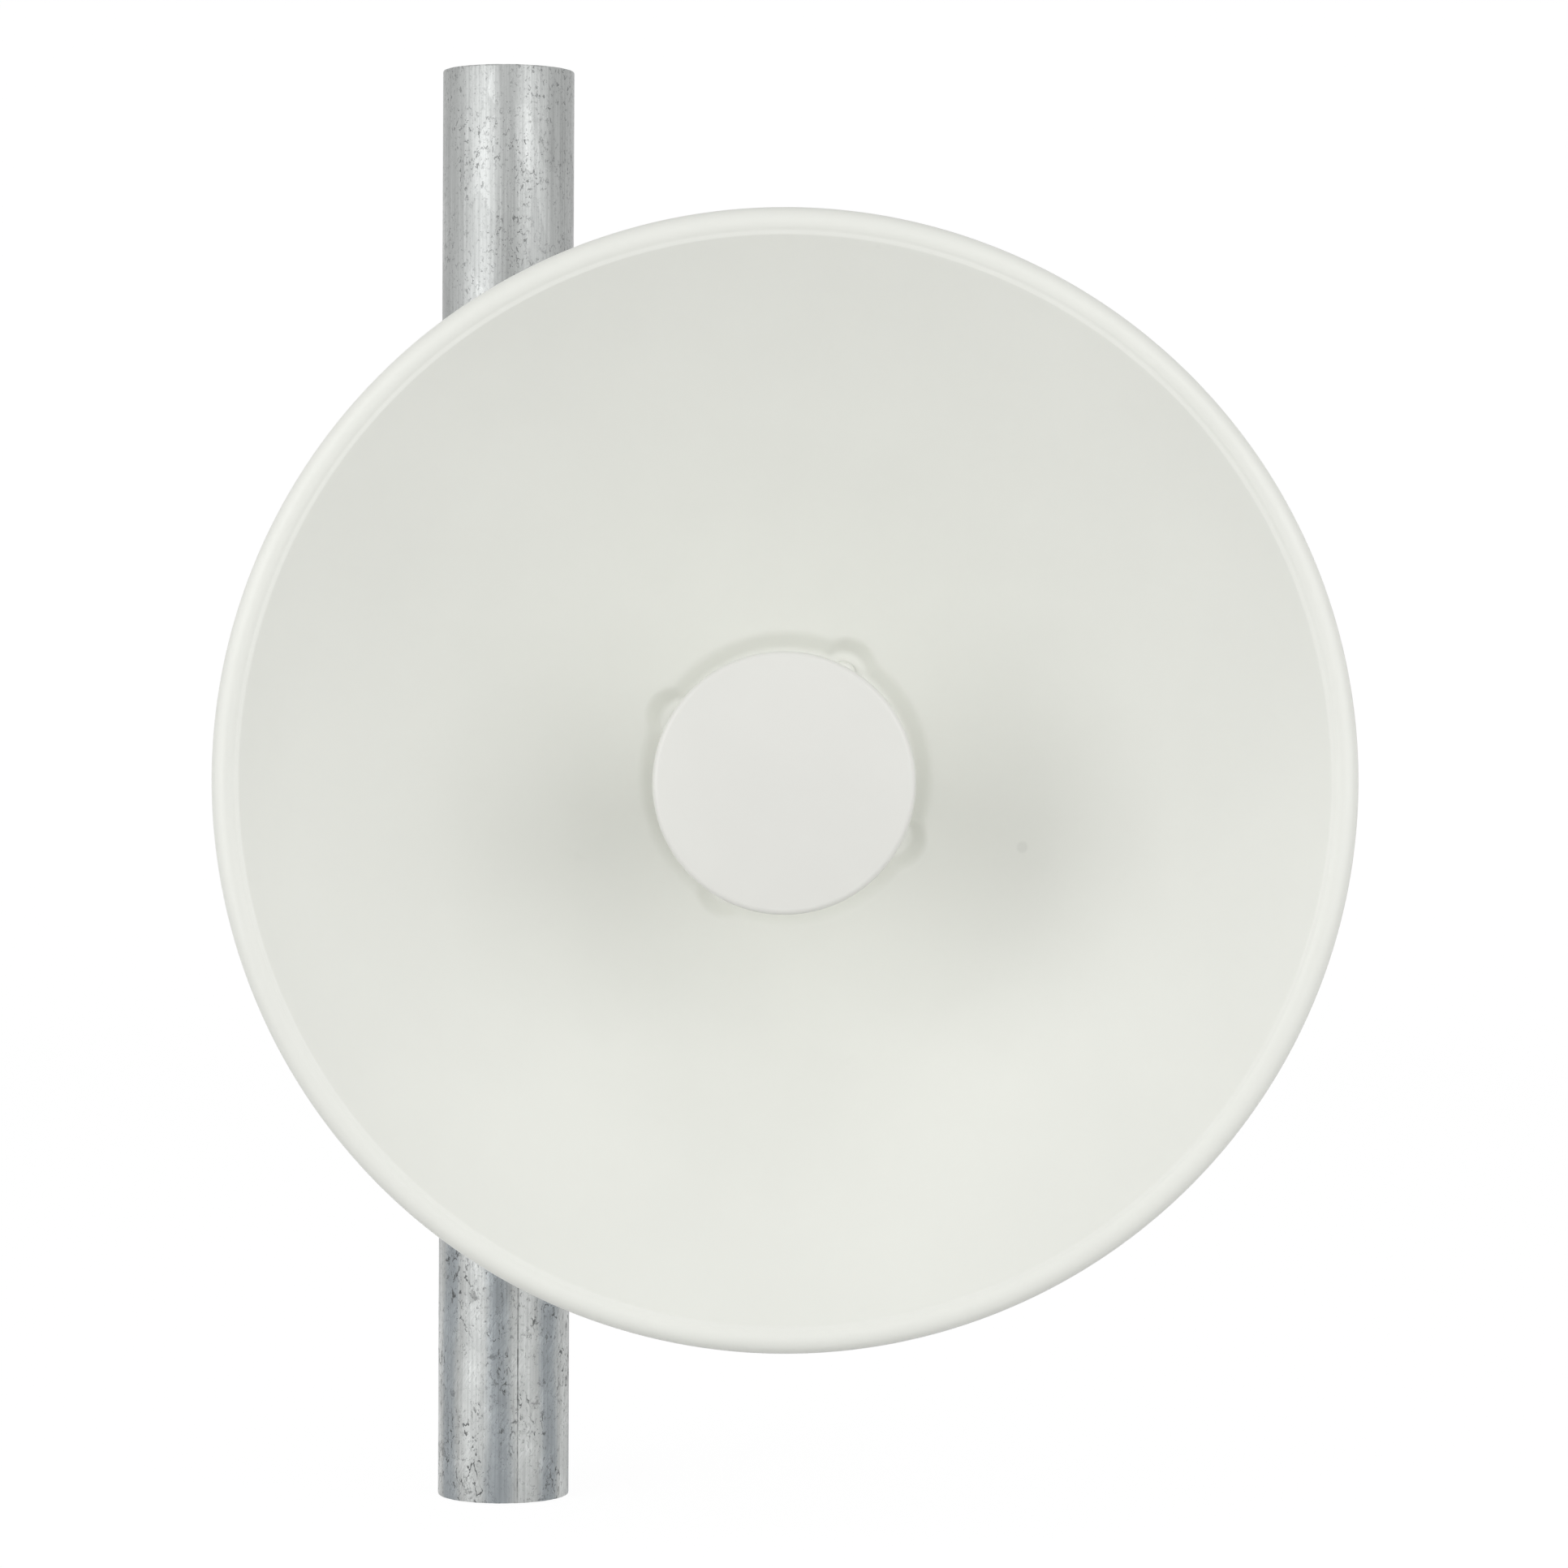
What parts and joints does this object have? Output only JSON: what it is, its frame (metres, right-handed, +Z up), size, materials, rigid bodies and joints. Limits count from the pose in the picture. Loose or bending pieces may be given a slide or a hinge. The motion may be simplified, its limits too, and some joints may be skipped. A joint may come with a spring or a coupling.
{
  "type": "parabolic dish antenna",
  "caption": "Round parabolic dish with a capped central feed and a radio housing behind it, on a toothed clamp and slotted knuckle that swivel and tilt it on a steel mast tube.",
  "frame": {"origin": "centre of the mast tube's lower end", "axes": "+Z up along the mast, the dish looks along -Y, +X to the right seen from in front"},
  "size_m": [0.472, 0.36, 0.656],
  "materials": {
    "galvanised_tube": "hot-dip galvanised, faint spangle, satin",
    "galvanised_plate": "hot-dip galvanised plate, matt",
    "stainless": "stainless steel, satin",
    "arm_paint": "powder coat, satin",
    "dish_paint": "off-white powder coat, semi-gloss",
    "housing_paint": "painted die casting, fine texture",
    "cap_plastic": "moulded UV-stable plastic, semi-matt",
    "shroud_plastic": "moulded plastic, satin",
    "dielectric": "turned low-loss plastic",
    "bare_aluminium": "machined",
    "brass": "bright brass",
    "seal_rubber": "matt black rubber",
    "dark_plastic": "moulded nylon",
    "button_plastic": "moulded plastic",
    "board": "glass-fibre laminate with solder mask",
    "tinned_steel": "tinned sheet",
    "thermal_pad": "soft filled silicone",
    "lens": "clear moulded light pipe"
  },
  "bodies": {
    "mast": {"mast_tube": "galvanised_tube"},
    "pole_clamp": {"pole_bracket": "galvanised_plate", "clamp_bolts": "stainless", "pivot_bolt": "stainless", "pivot_sleeve": "stainless", "lock_bolt": "stainless", "knuckle_washers": "stainless", "knuckle_nuts": "stainless"},
    "clamp_jaw_body": {"clamp_jaw": "galvanised_plate", "clamp_washers": "stainless", "clamp_spring_washers": "stainless", "clamp_nuts": "stainless"},
    "antenna_head": {"arm_bolts": "stainless", "arm_washers": "stainless", "feed_screws": "stainless", "cover_screws": "stainless", "board_screws": "stainless", "tilt_arm": "arm_paint", "reflector_dish": "dish_paint", "dish_screws": "dish_paint", "housing_base": "housing_paint", "housing_cover": "housing_paint", "feed_cap": "cap_plastic", "feed_shroud": "shroud_plastic", "dielectric_cone": "dielectric", "feed_waveguide": "bare_aluminium", "waveguide_backshort": "bare_aluminium", "splash_plate": "bare_aluminium", "feed_probes": "brass", "ground_screw": "brass", "ground_washer": "brass", "dish_gasket": "seal_rubber", "cover_gasket": "seal_rubber", "cap_seal": "seal_rubber", "gland_seal": "seal_rubber", "gland_body": "dark_plastic", "gland_locknut": "dark_plastic", "vent_plug": "dark_plastic", "reset_switch": "button_plastic", "circuit_board": "board", "shield_can": "tinned_steel", "ethernet_jack": "tinned_steel", "thermal_pad": "thermal_pad", "status_lenses": "lens"},
    "gland_cap": {"gland_nut": "dark_plastic"},
    "button": {"reset_button": "button_plastic"}
  },
  "joints": [
    {"name": "azimuth_swivel", "type": "hinge", "parent": "mast", "child": "pole_clamp", "pos_m": [0, 0, 0.335], "axis": [0, 0, 1], "continuous": true},
    {"name": "elevation_tilt", "type": "hinge", "parent": "pole_clamp", "child": "antenna_head", "pos_m": [0, -0.0681, 0.335], "axis": [1, 0, 0], "range_deg": [-20, 20]},
    {"name": "jaw_slide", "type": "slide", "parent": "pole_clamp", "child": "clamp_jaw_body", "axis": [0, 1, 0], "range_m": [0, 0.02]},
    {"name": "gland_turn", "type": "hinge", "parent": "antenna_head", "child": "gland_cap", "pos_m": [0.1084, -0.1106, 0.2225], "axis": [0, 0, 1], "continuous": true},
    {"name": "reset_press", "type": "slide", "parent": "antenna_head", "child": "button", "axis": [0, 0, 1], "range_m": [0, 0.001], "stiffness_N_per_m": 500, "springref_m": -0.001}
  ]
}
